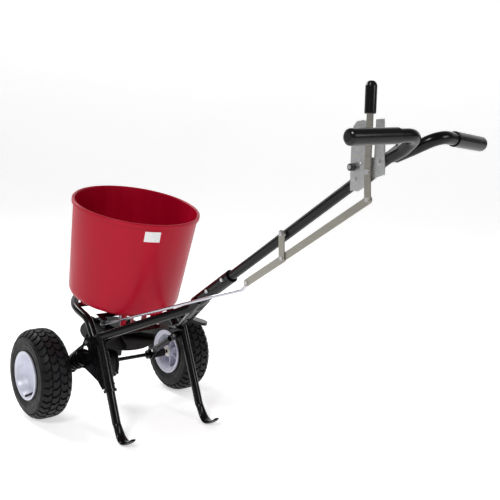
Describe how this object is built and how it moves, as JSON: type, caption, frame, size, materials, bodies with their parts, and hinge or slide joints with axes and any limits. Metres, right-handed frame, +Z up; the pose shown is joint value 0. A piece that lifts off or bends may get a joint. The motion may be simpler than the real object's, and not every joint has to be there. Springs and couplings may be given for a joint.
{
  "type": "broadcast spreader",
  "caption": "Walk-behind broadcast spreader: round hopper, two pneumatic wheels, stand legs, T handle, gate lever and ground-driven impeller.",
  "frame": {"origin": "centre of the footprint's bounding box, on the ground", "axes": "+X forward (away from the handle), +Y to the left, +Z up"},
  "size_m": [1.35, 0.641, 1.0301],
  "materials": {
    "tyre_black": "turf-tread rubber",
    "rim_silver": "satin silver",
    "frame_black": "gloss black powder coat",
    "hopper_red": "moulded deep red polyethylene",
    "plastic_black": "moulded black",
    "rubber_black": "matt",
    "zinc_plate": "zinc plated",
    "bar_steel": "rolled flat bar, clear passivated",
    "rod_steel": "bright drawn rod",
    "bush_nylon": "natural nylon",
    "gear_steel": "machined, greased",
    "label_white": "plain sticker"
  },
  "bodies": {
    "root": {"axle_bracket_left": "frame_black", "axle_hub_right": "frame_black", "brace": "frame_black", "case_axle_bushes": "bush_nylon", "case_screws": "zinc_plate", "cradle": "frame_black", "foot_plate": "frame_black", "frame_bolts": "zinc_plate", "frame_bushes": "bush_nylon", "gate_rails": "frame_black", "gauge_bolts": "zinc_plate", "gauge_bracket": "zinc_plate", "gear_case_left": "plastic_black", "gear_case_right": "plastic_black", "grip_left": "plastic_black", "grip_right": "plastic_black", "handlebar": "frame_black", "hopper": "hopper_red", "hopper_straps": "frame_black", "label": "label_white", "pivot_bolts": "zinc_plate", "pole": "frame_black", "rail_screws": "zinc_plate", "shaft_bushes": "bush_nylon", "side_tube_left": "frame_black", "side_tube_right": "frame_black", "stand_leg_left": "frame_black", "stand_leg_right": "frame_black", "stop_bumper": "rubber_black"},
    "drive_axle": {"axle": "frame_black", "axle_washers": "zinc_plate", "cotter_pins": "zinc_plate", "drive_collar": "zinc_plate", "drive_pins": "zinc_plate", "hub_bushes_left": "bush_nylon", "hub_cap_left": "rim_silver", "rim_left": "rim_silver", "ring_gear": "gear_steel", "tyre_left": "tyre_black", "valve_stem_left": "rubber_black"},
    "free_wheel": {"hub_bushes_right": "bush_nylon", "hub_cap_right": "rim_silver", "rim_right": "rim_silver", "tyre_right": "tyre_black", "valve_stem_right": "rubber_black"},
    "impeller_drive": {"agitator": "rod_steel", "impeller": "plastic_black", "impeller_pin": "zinc_plate", "impeller_shaft": "rod_steel", "pinion_gear": "gear_steel"},
    "lever": {"lever": "bar_steel", "lever_grip": "plastic_black"},
    "upper_bar": {"bar_pins": "zinc_plate", "upper_bar": "bar_steel"},
    "pivot_link": {"pivot_link": "bar_steel"},
    "lower_link": {"control_rod": "rod_steel", "lower_bar": "bar_steel", "rod_pin": "zinc_plate"},
    "gate": {"gate": "frame_black"}
  },
  "joints": [
    {"name": "drive_axle_spin", "type": "hinge", "parent": "root", "child": "drive_axle", "pos_m": [0.53533, 0, 0.1397], "axis": [0, 1, 0], "continuous": true},
    {"name": "free_wheel_spin", "type": "hinge", "parent": "root", "child": "free_wheel", "pos_m": [0.53533, -0.2586, 0.1397], "axis": [0, 1, 0], "continuous": true},
    {"name": "impeller_spin", "type": "hinge", "parent": "root", "child": "impeller_drive", "pos_m": [0.53533, 0, 0.1397], "axis": [-0.2164, 0, 0.9763], "continuous": true},
    {"name": "lever_swing", "type": "hinge", "parent": "root", "child": "lever", "pos_m": [-0.52887, 0.021, 0.84071], "axis": [0, 1, 0], "range_deg": [0, 15]},
    {"name": "upper_bar_swing", "type": "hinge", "parent": "lever", "child": "upper_bar", "pos_m": [-0.53437, 0.0172, 0.78221], "axis": [0, 1, 0], "range_deg": [-15, 0]},
    {"name": "pivot_link_swing", "type": "hinge", "parent": "root", "child": "pivot_link", "pos_m": [-0.27267, 0.0205, 0.67451], "axis": [0, 1, 0], "range_deg": [0, 15]},
    {"name": "lower_link_swing", "type": "hinge", "parent": "pivot_link", "child": "lower_link", "pos_m": [-0.27817, 0.0139, 0.61601], "axis": [0, 1, 0], "range_deg": [-15, 0]},
    {"name": "gate_slide", "type": "slide", "parent": "root", "child": "gate", "axis": [-0.9763, 0, -0.2164], "range_m": [0, 0.0189]}
  ],
  "couplings": [
    {"joint": "impeller_spin", "follows": "drive_axle_spin", "ratio": -3.3333},
    {"joint": "upper_bar_swing", "follows": "lever_swing", "ratio": -1},
    {"joint": "pivot_link_swing", "follows": "lever_swing", "ratio": 1},
    {"joint": "lower_link_swing", "follows": "lever_swing", "ratio": -0.9577},
    {"joint": "gate_slide", "follows": "lever_swing", "m_per_rad": 0.071887}
  ]
}
